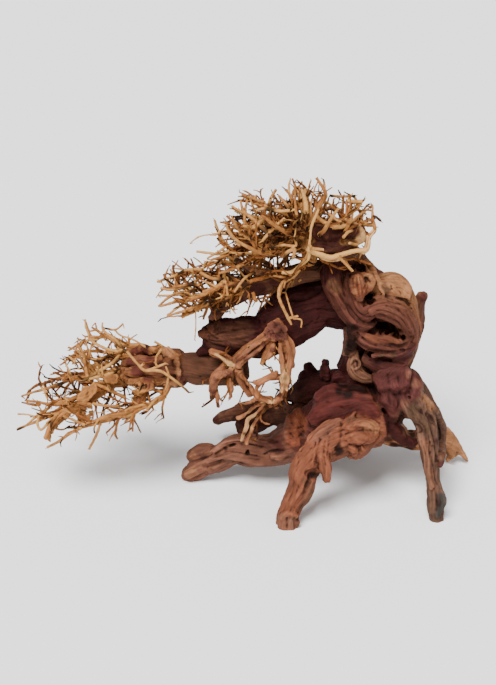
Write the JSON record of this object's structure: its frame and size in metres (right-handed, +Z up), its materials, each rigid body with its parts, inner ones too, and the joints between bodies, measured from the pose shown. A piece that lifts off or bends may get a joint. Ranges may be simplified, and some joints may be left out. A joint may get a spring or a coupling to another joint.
{
  "type": "aquarium driftwood",
  "caption": "Bonsai-like aquarium driftwood: a spreading root stump, a twisted trunk, dark limbs, a hanging root and bunches of fine roots like foliage.",
  "frame": {"origin": "centre of the bounding box in plan, at the level of the surface that the feet rest on", "axes": "+X is the long way, from the left spray to the rear right root; +Z is up; -Y is the front that the picture shows"},
  "size_m": [0.3792, 0.1623, 0.2709],
  "materials": {
    "weathered root wood": "weathered, worn smooth, matte",
    "twisted root wood": "weathered, creased, matte",
    "dark limb wood": "dark, water-stained, matte",
    "dark log wood": "dark, water-stained, matte",
    "tan root wood": "dry tan root, matte",
    "fine root tan": "dry fine roots, matte",
    "fine root gold": "dry fine roots, matte"
  },
  "bodies": {
    "root": {"root_base": "weathered root wood", "trunk": "twisted root wood", "upper_limb": "dark limb wood", "lower_limb": "dark log wood", "hanging_root": "tan root wood", "left_spray": "fine root tan", "upper_spray": "fine root tan", "crown_spray": "fine root gold"}
  },
  "joints": []
}
